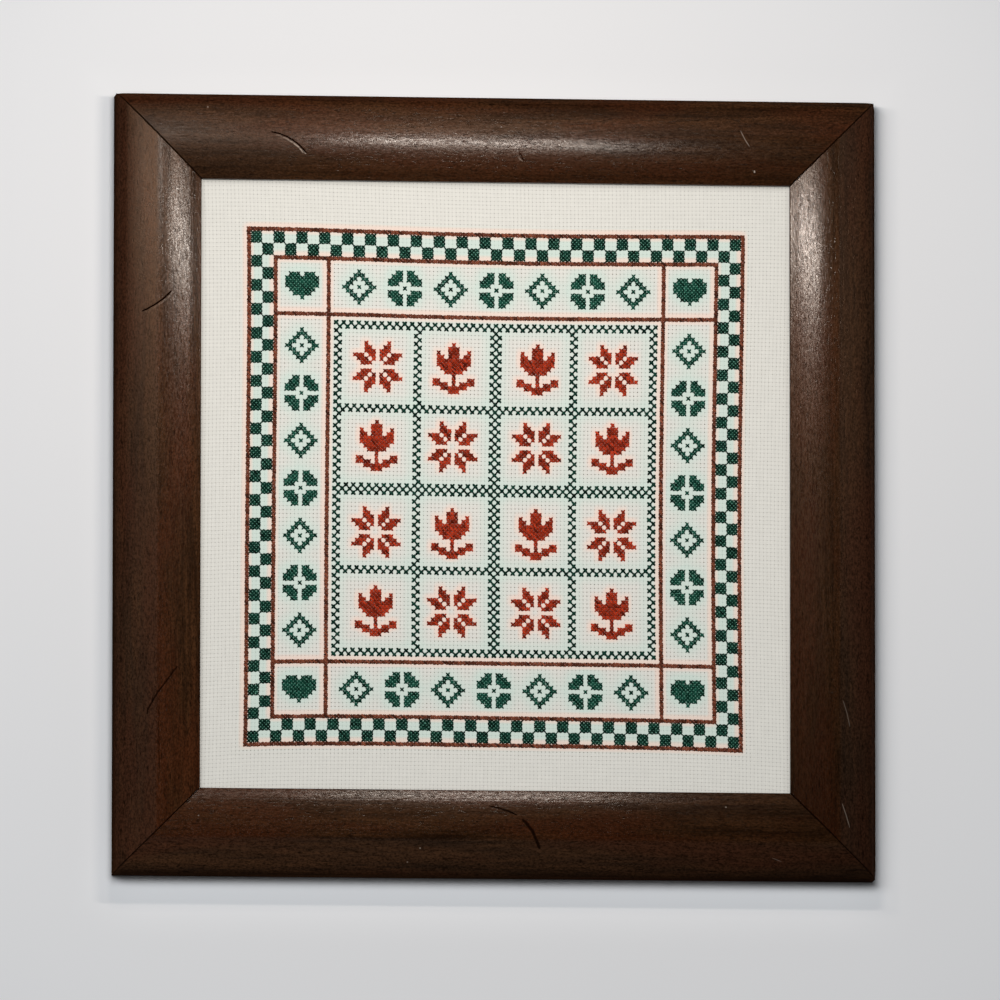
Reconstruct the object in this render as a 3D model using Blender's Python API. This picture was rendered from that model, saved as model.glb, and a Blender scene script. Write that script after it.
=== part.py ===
"""Framed cross stitch sampler, lying face up: four mitred wooden rails, the
stretched cloth in their rabbet and the board that backs it.

Metres, +Z out of the picture's face, +Y to the picture's top. The origin is the
middle of the frame's back, which is flat at z = 0.
"""

import math

import bmesh
import bpy

# Outside of the frame, across the picture and up it
FRAME_WIDTH = 0.3555
FRAME_HEIGHT = 0.3650

# Moulding, seen in cross-section: a low crown that curves gently down to both sides
RAIL_WIDTH = 0.0400
CROWN_HEIGHT = 0.0190
CROWN_ACROSS = 0.0180
OUTER_CURVE_RADIUS = 0.1300
INNER_CURVE_RADIUS = 0.0720
ROUND_WIDTH = 0.0050
ROUND_DROP = 0.0045
FACET_WIDTH = 0.0047
FACET_SLOPE = 0.27
LIP_CHAMFER = 0.0004
RABBET_WIDTH = 0.00635
RABBET_DEPTH = 0.0132
ARRIS = 0.0004
ROUND_STEPS = 14
OUTER_STEPS = 6
INNER_STEPS = 12

# Sheet and board in the rabbet
CLOTH_THICKNESS = 0.0010
CLOTH_CORNER = 0.0015
BOARD_THICKNESS = 0.0050
BOARD_ARRIS = 0.0003

# Gap between neighbouring pieces, measured square to the faces that meet
GAP = 0.0003

CLOTH_TOP = RABBET_DEPTH - GAP
CLOTH_BACK = CLOTH_TOP - CLOTH_THICKNESS
BOARD_TOP = CLOTH_BACK - GAP
POCKET_WIDTH = FRAME_WIDTH - 2 * (RAIL_WIDTH - RABBET_WIDTH)
POCKET_HEIGHT = FRAME_HEIGHT - 2 * (RAIL_WIDTH - RABBET_WIDTH)


def clear_scene():
    for old in list(bpy.data.objects):
        bpy.data.objects.remove(old, do_unlink=True)


def finish_of(name, colour, roughness):
    """A plain surface: a colour and a roughness, with no metal in it."""
    material = bpy.data.materials.new(name)
    material.use_nodes = True
    shader = material.node_tree.nodes["Principled BSDF"]
    shader.inputs["Base Color"].default_value = (*colour, 1.0)
    shader.inputs["Roughness"].default_value = roughness
    shader.inputs["Metallic"].default_value = 0.0
    return material


def object_from(bm, name, material):
    """The bmesh as a named object with one material and outward faces."""
    bmesh.ops.recalc_face_normals(bm, faces=bm.faces)
    mesh = bpy.data.meshes.new(name)
    bm.to_mesh(mesh)
    bm.free()
    mesh.materials.append(material)
    made = bpy.data.objects.new(name, mesh)
    bpy.context.scene.collection.objects.link(made)
    return made


def crown_height(across):
    """The crown's two shallow arcs, each of its own radius, as parabolas that meet at the top."""
    radius = OUTER_CURVE_RADIUS if across < CROWN_ACROSS else INNER_CURVE_RADIUS
    return CROWN_HEIGHT - (across - CROWN_ACROSS) ** 2 / (2 * radius)


def rounded_edge():
    """The outer edge: a quarter ellipse taken off the crown's arc, from the outer wall up."""
    points = []
    for step in range(ROUND_STEPS + 1):
        angle = 0.5 * math.pi * step / ROUND_STEPS
        across = ROUND_WIDTH * (1 - math.cos(angle))
        points.append((across, crown_height(across) - ROUND_DROP * (1 - math.sin(angle))))
    return points


def arc_points(start, end, steps):
    """Points on the crown's arcs, evenly spaced across the rail, without the first one."""
    spots = [start + (end - start) * step / steps for step in range(1, steps + 1)]
    return [(across, crown_height(across)) for across in spots]


def moulding_section():
    """The rail's outline as (across, height) points. It starts at the back's outer corner."""
    facet_start = RAIL_WIDTH - FACET_WIDTH
    chamfer_start = RAIL_WIDTH - LIP_CHAMFER
    chamfer_top = crown_height(facet_start) - FACET_SLOPE * (chamfer_start - facet_start)
    section = [(ARRIS, 0.0), (0.0, ARRIS)]
    section += rounded_edge()
    section += arc_points(ROUND_WIDTH, CROWN_ACROSS, OUTER_STEPS)
    section += arc_points(CROWN_ACROSS, facet_start, INNER_STEPS)
    section += [
        (chamfer_start, chamfer_top),
        (RAIL_WIDTH, chamfer_top - LIP_CHAMFER),
        (RAIL_WIDTH, RABBET_DEPTH),
        (RAIL_WIDTH - RABBET_WIDTH, RABBET_DEPTH),
        (RAIL_WIDTH - RABBET_WIDTH, 0.0),
    ]
    return section


def mitre(bm, side, outer_length):
    """Saws one end off at 45 degrees through the frame's corner, half a gap short of it."""
    corner = (side * outer_length / 2 - side * GAP * math.sqrt(0.5), 0.0, 0.0)
    away = (side * math.sqrt(0.5), math.sqrt(0.5), 0.0)
    everything = bm.verts[:] + bm.edges[:] + bm.faces[:]
    cut = bmesh.ops.bisect_plane(
        bm, geom=everything, plane_co=corner, plane_no=away, clear_outer=True
    )
    rim = [item for item in cut["geom_cut"] if isinstance(item, bmesh.types.BMEdge)]
    bmesh.ops.contextual_create(bm, geom=rim)


def add_rail(name, outer_length, place, turn, material):
    """One stick of moulding along its own X, outer edge at its Y = 0, mitred at both ends."""
    bm = bmesh.new()
    half = outer_length / 2
    start = [bm.verts.new((-half, across, height)) for across, height in moulding_section()]
    bm.faces.new(start)
    stick = bmesh.ops.extrude_face_region(bm, geom=bm.faces[:])
    far_end = [item for item in stick["geom"] if isinstance(item, bmesh.types.BMVert)]
    bmesh.ops.translate(bm, verts=far_end, vec=(outer_length, 0.0, 0.0))
    mitre(bm, -1, outer_length)
    mitre(bm, 1, outer_length)
    rail = object_from(bm, name, material)
    rail.location = place
    rail.rotation_euler = (0.0, 0.0, turn)
    rail.data.shade_smooth()
    rail.data.set_sharp_from_angle(angle=math.radians(25))
    return rail


def add_rails(material):
    half_width = FRAME_WIDTH / 2
    half_height = FRAME_HEIGHT / 2
    quarter = math.pi / 2
    add_rail("rail_bottom", FRAME_WIDTH, (0.0, -half_height, 0.0), 0.0, material)
    add_rail("rail_right", FRAME_HEIGHT, (half_width, 0.0, 0.0), quarter, material)
    add_rail("rail_top", FRAME_WIDTH, (0.0, half_height, 0.0), 2 * quarter, material)
    add_rail("rail_left", FRAME_HEIGHT, (-half_width, 0.0, 0.0), -quarter, material)


def add_slab(name, width, height, low, thickness, corner, material):
    """A flat piece cut to the pocket, with its upright corners eased."""
    bm = bmesh.new()
    bmesh.ops.create_cube(bm, size=1.0)
    bmesh.ops.scale(bm, vec=(width, height, thickness), verts=bm.verts)
    upright = [
        edge
        for edge in bm.edges
        if abs(edge.verts[0].co.z - edge.verts[1].co.z) > 0.5 * thickness
    ]
    bmesh.ops.bevel(bm, geom=upright, offset=corner, segments=3, affect="EDGES")
    slab = object_from(bm, name, material)
    slab.location = (0.0, 0.0, low + thickness / 2)
    return slab


def main():
    clear_scene()
    wood = finish_of("walnut_stain", (0.085, 0.034, 0.016), 0.38)
    linen = finish_of("cream_cotton", (0.78, 0.74, 0.66), 0.9)
    card = finish_of("grey_card", (0.42, 0.36, 0.28), 0.88)
    add_rails(wood)
    width = POCKET_WIDTH - 2 * GAP
    height = POCKET_HEIGHT - 2 * GAP
    add_slab("stitched_cloth", width, height, CLOTH_BACK, CLOTH_THICKNESS, CLOTH_CORNER, linen)
    low = BOARD_TOP - BOARD_THICKNESS
    add_slab("backing_board", width, height, low, BOARD_THICKNESS, BOARD_ARRIS, card)


main()
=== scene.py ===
"""Looks of a framed cross stitch sampler that lies face up.

Four mitred rails of stained wood, a sheet of counted cotton stretched between them, every
cross of the stitching as two strands of thread, and the board behind the cloth. Sizes are in
metres and the frame's own axes: +Z out of the picture's face, +Y to the picture's top.
Laid out as an add-on with one operator for each group of pieces, and run as a script.
"""

import math
from collections import namedtuple

import bpy
import numpy as np
from bpy.props import FloatProperty, FloatVectorProperty, IntProperty, PointerProperty
from bpy.types import Operator, Panel, PropertyGroup
from mathutils import Matrix, Vector


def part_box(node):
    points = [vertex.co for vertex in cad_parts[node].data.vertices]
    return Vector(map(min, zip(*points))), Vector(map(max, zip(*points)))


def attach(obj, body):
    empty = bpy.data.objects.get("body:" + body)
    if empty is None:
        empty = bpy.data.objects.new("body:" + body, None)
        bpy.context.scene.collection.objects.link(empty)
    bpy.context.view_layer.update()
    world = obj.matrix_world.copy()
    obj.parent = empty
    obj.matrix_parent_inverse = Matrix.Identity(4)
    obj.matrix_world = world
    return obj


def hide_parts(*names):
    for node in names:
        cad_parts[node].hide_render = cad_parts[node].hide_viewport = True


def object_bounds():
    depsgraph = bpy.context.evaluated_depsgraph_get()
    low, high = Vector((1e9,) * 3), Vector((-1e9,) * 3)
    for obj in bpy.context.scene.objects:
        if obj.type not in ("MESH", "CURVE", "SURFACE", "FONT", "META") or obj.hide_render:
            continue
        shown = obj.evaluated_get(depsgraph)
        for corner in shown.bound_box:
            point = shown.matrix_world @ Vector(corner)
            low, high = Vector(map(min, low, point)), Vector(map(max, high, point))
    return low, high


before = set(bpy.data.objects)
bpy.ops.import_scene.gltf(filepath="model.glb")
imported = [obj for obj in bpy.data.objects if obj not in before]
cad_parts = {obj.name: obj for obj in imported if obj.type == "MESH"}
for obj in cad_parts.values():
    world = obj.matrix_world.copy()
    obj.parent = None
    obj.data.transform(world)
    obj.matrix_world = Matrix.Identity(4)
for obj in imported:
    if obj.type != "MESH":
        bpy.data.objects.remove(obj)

bl_info = {
    "name": "Framed Cross Stitch",
    "version": (1, 0, 0),
    "blender": (4, 5, 0),
    "location": "3D View > Sidebar > Cross Stitch",
    "description": "Rails, counted cloth, thread crosses, backing board and stage of a sampler",
    "category": "Add Mesh",
}

MM = 0.001
UV_NAME = "piece_uv"

# The box of the solids, and what follows from the nodes
CAD_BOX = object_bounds()
BOTTOM_RAIL_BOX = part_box("rail_bottom")
CLOTH_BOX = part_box("stitched_cloth")
BOARD_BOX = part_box("backing_board")
FRAME_WIDTH = CAD_BOX[1].x - CAD_BOX[0].x
FRAME_HEIGHT = CAD_BOX[1].y - CAD_BOX[0].y
CROWN_HEIGHT = CAD_BOX[1].z
RAIL_WIDTH = BOTTOM_RAIL_BOX[1].y - BOTTOM_RAIL_BOX[0].y
GAP = 0.3 * MM
RABBET_DEPTH = CLOTH_BOX[1].z + GAP
RABBET_WIDTH = CLOTH_BOX[1].x + GAP - (FRAME_WIDTH / 2 - RAIL_WIDTH)
OPENING_HALF_WIDTH = FRAME_WIDTH / 2 - RAIL_WIDTH
OPENING_HALF_HEIGHT = FRAME_HEIGHT / 2 - RAIL_WIDTH

# Moulding, seen in cross-section
CROWN_ACROSS = 18.0 * MM
OUTER_CURVE_RADIUS = 130.0 * MM
INNER_CURVE_RADIUS = 72.0 * MM
ROUND_WIDTH = 5.0 * MM
ROUND_DROP = 4.5 * MM
FACET_WIDTH = 4.7 * MM
FACET_SLOPE = 0.27
ARRIS = 0.4 * MM
LIP_ROUND = 0.55 * MM
CREASE_DEPTH = 0.02 * MM
CREASE_HALF_WIDTH = 0.35 * MM

# The design: stitches a side, counted from the picture's top left
STITCHES = 131
BARE = 0
GREEN = 1
RUST = 2


class RailSettings(PropertyGroup):
    """Sizes and colours of the four rails."""

    wood_dark: FloatVectorProperty(
        name="Dark wood", description="Stain in the deepest grain", subtype="COLOR",
        size=3, min=0.0, max=1.0, default=(0.0100, 0.0034, 0.0010),
    )
    wood_light: FloatVectorProperty(
        name="Light wood", description="Stain in the open grain", subtype="COLOR",
        size=3, min=0.0, max=1.0, default=(0.0500, 0.0195, 0.0070),
    )
    wood_red: FloatVectorProperty(
        name="Red wood", description="Stain where the wood is redder", subtype="COLOR",
        size=3, min=0.0, max=1.0, default=(0.0460, 0.0112, 0.0034),
    )
    # Painted sheen: a greyer tone that stands for the outer slopes' reflection of the surroundings
    painted_sheen_colour: FloatVectorProperty(
        name="Dull film", description="Tone of the dulled varnish outside the crown",
        subtype="COLOR", size=3, min=0.0, max=1.0, default=(0.0275, 0.0182, 0.0128),
    )
    varnish_roughness: FloatProperty(
        name="Varnish roughness", description="Roughness of the satin varnish",
        default=0.18, min=0.0, max=1.0, subtype="FACTOR",
    )
    grid_step: FloatProperty(
        name="Grid step", description="Spacing of the surface grid along a rail",
        default=1.9 * MM, min=0.2 * MM, max=20 * MM, unit="LENGTH",
    )


class ClothSettings(PropertyGroup):
    """Sizes and colours of the counted cloth."""

    colour: FloatVectorProperty(
        name="Cotton", description="Colour of the cloth", subtype="COLOR",
        size=3, min=0.0, max=1.0, default=(0.835, 0.820, 0.760),
    )
    hole_depth: FloatProperty(
        name="Hole depth", description="How far the cloth dips at the corners of a block",
        default=0.22 * MM, min=0.0, max=1 * MM, unit="LENGTH",
    )


class ThreadSettings(PropertyGroup):
    """Sizes and colours of the stitching."""

    green: FloatVectorProperty(
        name="Green", description="Colour of the green thread", subtype="COLOR",
        size=3, min=0.0, max=1.0, default=(0.0036, 0.060, 0.037),
    )
    rust: FloatVectorProperty(
        name="Rust", description="Colour of the rust thread", subtype="COLOR",
        size=3, min=0.0, max=1.0, default=(0.400, 0.033, 0.0080),
    )
    rust_line: FloatVectorProperty(
        name="Rust lines", description="Colour of the rust thread of the lines", subtype="COLOR",
        size=3, min=0.0, max=1.0, default=(0.190, 0.053, 0.026),
    )
    half_width: FloatProperty(
        name="Strand half width", description="Half of a strand's width on the cloth",
        default=0.45 * MM, min=0.05 * MM, max=1 * MM, unit="LENGTH",
    )
    half_height: FloatProperty(
        name="Strand half height", description="Half of a strand's height",
        default=0.19 * MM, min=0.05 * MM, max=1 * MM, unit="LENGTH",
    )
    seed: IntProperty(
        name="Seed", description="Seed of the small unevenness of the stitches", default=14, min=0,
    )


class StageSettings(PropertyGroup):
    """Floor, lights and camera."""

    floor_colour: FloatVectorProperty(
        name="Floor", description="Colour of the floor", subtype="COLOR",
        size=3, min=0.0, max=1.0, default=(0.885, 0.888, 0.900),
    )
    light_level: FloatProperty(
        name="Light level", description="Share of the lights' full power", default=1.0, min=0.0,
    )
    turn_left: FloatProperty(
        name="Turn to the left", description="Angle of the camera to the left of the face's normal",
        default=math.radians(5.21), subtype="ANGLE",
    )
    turn_down: FloatProperty(
        name="Turn down", description="Angle of the camera below the face's normal",
        default=math.radians(6.58), subtype="ANGLE",
    )
    distance: FloatProperty(
        name="Distance", description="Distance of the camera from the frame",
        default=8.0, min=0.5, unit="LENGTH",
    )


def settings():
    return bpy.context.scene.stitched_frame


def mesh_from(name, points, quads, caps=()):
    """A mesh from an array of points, an array of four-sided faces and a few many-sided caps."""
    corners = np.concatenate([quads.ravel(), *caps]).astype(np.int32)
    sizes = np.concatenate([np.full(len(quads), 4), [len(cap) for cap in caps]]).astype(np.int32)
    mesh = bpy.data.meshes.new(name)
    mesh.vertices.add(len(points))
    mesh.vertices.foreach_set("co", points.astype(np.float32).ravel())
    mesh.loops.add(len(corners))
    mesh.loops.foreach_set("vertex_index", corners)
    mesh.polygons.add(len(sizes))
    mesh.polygons.foreach_set("loop_start", np.cumsum(sizes) - sizes)
    mesh.update(calc_edges=True)
    mesh.validate()
    return mesh


def set_uv(mesh, uv):
    """Gives the mesh a UV map from one pair of numbers a vertex."""
    corner_vertex = np.empty(len(mesh.loops), np.int32)
    mesh.loops.foreach_get("vertex_index", corner_vertex)
    layer = mesh.uv_layers.new(name=UV_NAME)
    layer.data.foreach_set("uv", uv[corner_vertex].astype(np.float32).ravel())


def set_number(mesh, name, values):
    """Gives the mesh a named number for each vertex."""
    attribute = mesh.attributes.new(name, "FLOAT", "POINT")
    attribute.data.foreach_set("value", values.astype(np.float32))


def piece_from(mesh, material, slot, node=None, sharp_angle=None):
    """Links the mesh as a piece that rides on the body, smooth but for edges past sharp_angle."""
    piece = bpy.data.objects.new(mesh.name, mesh)
    bpy.context.scene.collection.objects.link(piece)
    mesh.materials.append(material)
    mesh.polygons.foreach_set("use_smooth", np.ones(len(mesh.polygons), bool))
    if sharp_angle is not None:
        mesh.set_sharp_from_angle(angle=math.radians(sharp_angle))
    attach(piece, "root")
    if node is not None:
        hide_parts(node)
    return piece


def grid_quads(rows, columns, around=False):
    """Faces of a grid whose points lie row by row; around joins the last column to the first."""
    first = np.arange(rows - 1)[:, None] * columns
    column = np.arange(columns if around else columns - 1)[None, :]
    after = (column + 1) % columns
    quads = [first + column, first + columns + column, first + columns + after, first + after]
    return np.stack(quads, axis=-1).reshape(-1, 4)


class Shader:
    """A material with a Principled surface, and short calls for the nodes that feed it."""

    def __init__(self, name):
        self.material = bpy.data.materials.new(name)
        self.material.use_nodes = True
        self.tree = self.material.node_tree
        self.surface = self.tree.nodes["Principled BSDF"]

    def node(self, kind, **values):
        made = self.tree.nodes.new(kind)
        for key, value in values.items():
            setattr(made, key, value)
        return made

    def link(self, source, target):
        self.tree.links.new(source, target)

    def feed(self, socket, value):
        """Links the socket to another node's output, or sets it to a plain value."""
        if isinstance(value, bpy.types.NodeSocket):
            self.link(value, socket)
        else:
            socket.default_value = value

    def set(self, **values):
        """Feeds the surface's sockets, named with _ for a space."""
        for key, value in values.items():
            self.feed(self.surface.inputs[key.replace("_", " ")], value)

    def object_place(self):
        return self.node("ShaderNodeTexCoord").outputs["Object"]

    def uv_place(self):
        return self.node("ShaderNodeUVMap", uv_map=UV_NAME).outputs["UV"]

    def number(self, name):
        return self.node("ShaderNodeAttribute", attribute_name=name).outputs["Fac"]

    def moved(self, place, location=(0, 0, 0), rotation=(0, 0, 0), scale=(1, 1, 1)):
        mapping = self.node("ShaderNodeMapping")
        self.link(place, mapping.inputs["Vector"])
        mapping.inputs["Location"].default_value = location
        mapping.inputs["Rotation"].default_value = rotation
        mapping.inputs["Scale"].default_value = scale
        return mapping.outputs["Vector"]

    def noise(self, place, scale, detail=3.0, roughness=0.5, distortion=0.0):
        made = self.node("ShaderNodeTexNoise")
        self.link(place, made.inputs["Vector"])
        made.inputs["Scale"].default_value = scale
        made.inputs["Detail"].default_value = detail
        made.inputs["Roughness"].default_value = roughness
        made.inputs["Distortion"].default_value = distortion
        return made.outputs["Fac"]

    def drawn_out(self, place, pattern):
        """Noise drawn out along X, from (squeeze, scale, detail, roughness, distortion)."""
        squeeze, *numbers = pattern
        return self.noise(self.moved(place, scale=(squeeze, 1, 1)), *numbers)

    def math(self, operation, first, second=0.0, third=0.0):
        made = self.node("ShaderNodeMath", operation=operation)
        for socket, value in zip(made.inputs, (first, second, third)):
            self.feed(socket, value)
        return made.outputs[0]

    def ramp(self, value, low, high, out_low=0.0, out_high=1.0):
        """Carries value from low..high to out_low..out_high by a smooth step, clamped."""
        made = self.node("ShaderNodeMapRange", interpolation_type="SMOOTHSTEP")
        for key, number in (
            ("Value", value), ("From Min", low), ("From Max", high),
            ("To Min", out_low), ("To Max", out_high),
        ):
            self.feed(made.inputs[key], number)
        return made.outputs["Result"]

    def scaled(self, value, amount):
        return self.math("MULTIPLY", value, amount)

    def mix(self, share, first, second, blend="MIX"):
        """Two colours mixed by share, or by a blend type at that share."""
        made = self.node("ShaderNodeMix", data_type="RGBA", blend_type=blend)
        self.feed(made.inputs[0], share)
        for socket, colour in ((made.inputs[6], first), (made.inputs[7], second)):
            plain = not isinstance(colour, bpy.types.NodeSocket)
            self.feed(socket, (*colour[:3], 1.0) if plain else colour)
        return made.outputs[2]

    def bump(self, height, distance, below=None):
        """The surface's direction under a relief of that height, laid over the one below."""
        made = self.node("ShaderNodeBump")
        self.link(height, made.inputs["Height"])
        made.inputs["Distance"].default_value = distance
        made.inputs["Strength"].default_value = 1.0
        if below is not None:
            self.link(below, made.inputs["Normal"])
        return made.outputs["Normal"]

    def facets(self, place, scale, tilt):
        """The surface's own direction, tipped at random in each of many small cells."""
        cells = self.node("ShaderNodeTexVoronoi")
        self.link(place, cells.inputs["Vector"])
        cells.inputs["Scale"].default_value = scale
        tipped = self.node("ShaderNodeVectorMath", operation="MULTIPLY_ADD")
        self.link(cells.outputs["Color"], tipped.inputs[0])
        tipped.inputs[1].default_value = (tilt, tilt, tilt)
        tipped.inputs[2].default_value = (-tilt / 2, -tilt / 2, -tilt / 2)
        added = self.node("ShaderNodeVectorMath", operation="ADD")
        self.link(tipped.outputs[0], added.inputs[0])
        self.link(self.node("ShaderNodeNewGeometry").outputs["Normal"], added.inputs[1])
        whole = self.node("ShaderNodeVectorMath", operation="NORMALIZE")
        self.link(added.outputs[0], whole.inputs[0])
        return whole.outputs[0]

    def split(self, vector):
        made = self.node("ShaderNodeSeparateXYZ")
        self.link(vector, made.inputs[0])
        return made.outputs


# Patterns drawn out along the grain: how far each is squeezed along it, then its noise's scale,
# detail, roughness and distortion
WOOD_PATTERNS = {
    "streaks": (1 / 22, 620.0, 5.0, 0.62, 0.5),
    "bands": (0.05, 105.0, 3.0, 0.55, 1.0),
    "patches": (0.16, 48.0, 3.0, 0.55, 0.0),
    "pores": (0.20, 1250.0, 2.0, 0.6, 0.0),
    "grit": (0.60, 1300.0, 2.0, 0.7, 0.0),
    "orange_peel": (0.4, 420.0, 2.0, 0.5, 0.0),
    "pebble": (0.8, 1300.0, 1.0, 0.5, 0.0),
    "speckle": (0.22, 1450.0, 2.0, 0.6, 0.0),
}
ORANGE_PEEL_DEPTH = 0.020 * MM
PEBBLE_DEPTH = 0.018 * MM
PORE_DEPTH = 0.02 * MM
# Fine cells of the varnish, each tipped a little its own way
CELL_SQUEEZE = 0.6
CELL_SCALE = 2300.0
CELL_TILT = 0.018
# Pale wood of the rubbed scratches, also the painted highlight on the ridges beside deep ones
RUBBED_AND_HIGHLIT_WOOD = (0.40, 0.33, 0.27)
VARNISH_TINT = (1.0, 0.55, 0.30, 1.0)
# The ridge beside a scratch, in half widths to its right, and the mitre's dark line in millimetres
RIDGE_OFF = 2.5
SEAM_FULL = 0.12
SEAM_END = 0.42


def scratch_masks(s, grit):
    """Two masks from the numbers mark_* and seam: what is cut dark, the deep scratches and the
    mitre lines, and what is pale, the rubbed scratches and the painted highlight on the ridges
    beside the deep ones."""
    side = s.number("mark_side")
    within = s.ramp(s.number("mark_end"), 0.0, 0.4)
    tone = s.number("mark_tone")
    core = s.math("MULTIPLY", s.ramp(s.math("ABSOLUTE", side), 0.35, 1.1, 1.0, 0.0), within)
    deep = s.math("MULTIPLY", core, s.math("MAXIMUM", tone, 0.0))
    rubbed = s.math("MULTIPLY", core, s.math("MAXIMUM", s.scaled(tone, -1.0), 0.0))
    # a painted highlight along the lit side of a deep scratch
    ridge = s.ramp(s.math("ABSOLUTE", s.math("ADD", side, RIDGE_OFF)), 0.4, 1.4, 1.0, 0.0)
    ridge = s.math("MULTIPLY", s.math("MULTIPLY", ridge, within), s.number("mark_lit"))
    ridge = s.math("MULTIPLY", ridge, s.ramp(grit, 0.38, 0.6, 0.25, 1.0))
    seam = s.ramp(s.number("seam"), SEAM_FULL, SEAM_END, 0.85, 0.0)
    return s.math("MAXIMUM", deep, seam), s.math("MAXIMUM", rubbed, ridge)


def stained_colour(s, grain, pore, groove, pale):
    """Stain that goes from dark to light with the streaks and bands of the grain, redder in
    patches, greyed by painted sheen where the varnish is dull, and darker in the pores and
    grooves. It is bared where the numbers wear and pale say so, pale also painting highlights on
    the ridges beside deep scratches, and the number shade darkens it all as painted shade."""
    chosen = settings().rails
    dark = tuple(chosen.wood_dark)
    light = tuple(chosen.wood_light)
    worn = tuple(min(1.0, 2.6 * c) for c in light)
    tone = s.math("ADD", s.scaled(grain["streaks"], 0.5), s.scaled(grain["bands"], 0.5))
    ground = s.mix(s.ramp(tone, 0.34, 0.66), dark, light)
    red = s.ramp(grain["patches"], 0.42, 0.62, 0.0, 0.75)
    ground = s.mix(red, ground, tuple(chosen.wood_red))
    # painted sheen: the outer slopes greyed towards a reflection of the pale surroundings
    film = s.ramp(s.number("film"), 0.0, 1.0, 0.0, 0.38)
    ground = s.mix(film, ground, tuple(chosen.painted_sheen_colour))
    ground = s.mix(s.scaled(pore, 0.7), ground, tuple(0.3 * c for c in dark))
    ground = s.mix(1.0, ground, s.ramp(grain["grit"], 0.32, 0.68, 0.55, 1.50), "MULTIPLY")
    # painted shade: darker on the inner side and towards the lower right
    ground = s.mix(1.0, ground, s.number("shade"), "MULTIPLY")
    ground = s.mix(s.scaled(s.number("wear"), 0.7), ground, worn)
    # pale: rubbed wood, and the painted highlight on the ridges beside deep scratches
    ground = s.mix(pale, ground, RUBBED_AND_HIGHLIT_WOOD)
    return s.mix(groove, ground, tuple(0.25 * c for c in dark))


def varnish(s, place, grain, pore, groove):
    """Satin varnish as the surface's coat: tipped cells under two reliefs and the open pores. It
    is speckled along the grain and thin in the grooves. Where the varnish is dull, it is thinner,
    rougher and less speckled."""
    dull = s.number("film")
    cells = s.facets(s.moved(place, scale=(CELL_SQUEEZE, 1, 1)), CELL_SCALE, CELL_TILT)
    lower = s.bump(grain["orange_peel"], ORANGE_PEEL_DEPTH, below=cells)
    middle = s.bump(grain["pebble"], PEBBLE_DEPTH, below=lower)
    height = s.math("MULTIPLY_ADD", pore, -0.8, s.scaled(grain["streaks"], 0.6))
    height = s.math("MULTIPLY_ADD", groove, -6.0, height)
    top = s.bump(height, PORE_DEPTH, below=middle)
    speckle = s.ramp(grain["speckle"], 0.36, 0.60, 0.44, 1.0)
    evened = s.math("SUBTRACT", 0.6, speckle)
    speckle = s.math("MULTIPLY_ADD", s.scaled(dull, 0.85), evened, speckle)
    gloss = s.math("MULTIPLY", s.number("gloss"), s.math("SUBTRACT", 1.0, groove))
    gloss = s.math("MULTIPLY", gloss, speckle)
    coat = s.math("MULTIPLY", gloss, s.math("MULTIPLY_ADD", dull, -0.5, 1.0))
    level = s.math("MULTIPLY", gloss, s.math("MULTIPLY_ADD", dull, 0.42, 0.5))
    rough = settings().rails.varnish_roughness
    varied = s.ramp(grain["grit"], 0.3, 0.7, rough - 0.03, rough + 0.05)
    s.set(Normal=top, Coat_Normal=top, Coat_Weight=coat)
    s.set(Coat_Roughness=s.math("MULTIPLY_ADD", dull, 0.14, varied))
    s.set(Roughness=s.math("MULTIPLY_ADD", dull, -0.12, 0.45))
    s.set(Specular_IOR_Level=level, Specular_Tint=VARNISH_TINT)


def wood_finish(name, turn, offset):
    """Dark stained hardwood under satin varnish that has dried pebbly. The grain runs along X
    before the turn. Numbers on the mesh say where the varnish is dull and greyed by painted sheen
    (film) or missing (gloss), where the wood is rubbed (wear), darkened by painted shade
    (shade) or scratched (mark_*), and how far off the mitre is (seam)."""
    s = Shader(name)
    place = s.moved(s.object_place(), location=offset, rotation=(0, 0, turn))
    grain = {label: s.drawn_out(place, pattern) for label, pattern in WOOD_PATTERNS.items()}
    pore = s.ramp(grain["pores"], 0.58, 0.68)
    groove, pale = scratch_masks(s, grain["grit"])
    s.set(Base_Color=stained_colour(s, grain, pore, groove, pale))
    varnish(s, place, grain, pore, groove)
    return s.material


THREADS_A_BLOCK = 4.0
# The holes' colour: painted shade inside holes that the cloth's surface doesn't open
HOLE_COLOUR = (0.14, 0.115, 0.085)
# Painted shade of the rails on the cloth: a share of darker cloth, and how far in it fades out
RIM_SHADE = 0.13
RIM_SHADE_WIDTH = 3.4 * MM
TOP_RIM_SHADE = 0.16
TOP_RIM_SHADE_WIDTH = 2.8 * MM
MINT = (0.64, 0.80, 0.72)
BLUSH = (0.97, 0.73, 0.62)


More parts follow.
